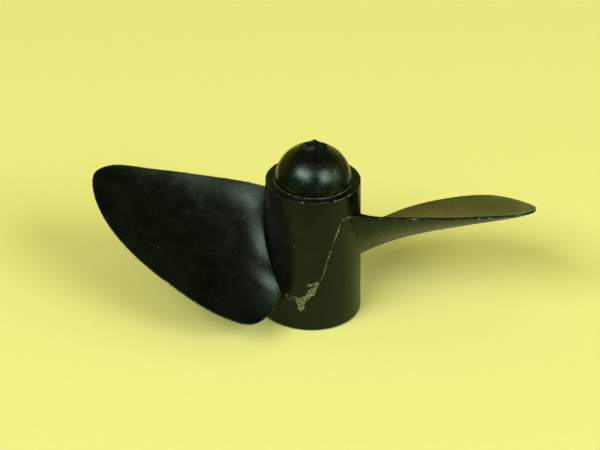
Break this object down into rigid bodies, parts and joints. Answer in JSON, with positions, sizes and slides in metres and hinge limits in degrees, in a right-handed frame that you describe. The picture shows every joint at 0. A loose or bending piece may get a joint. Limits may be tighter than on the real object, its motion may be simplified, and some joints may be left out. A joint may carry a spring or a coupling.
{
  "type": "model boat propeller",
  "caption": "Small moulded two-bladed model boat propeller with wide swept blades, a plain hub and a domed nose cap.",
  "frame": {"origin": "centre of the hub's back end, which stands on the floor", "axes": "+Z along the shaft axis from the hub's back end to the domed nose, +X along the middle of one blade"},
  "size_m": [0.0498, 0.0232, 0.0217],
  "materials": {
    "satin_black_plastic": "satin, lightly scuffed",
    "gloss_black_plastic": "gloss, finely turned"
  },
  "bodies": {
    "root": {"propeller_moulding": "satin_black_plastic", "nose_cap": "gloss_black_plastic"}
  },
  "joints": []
}
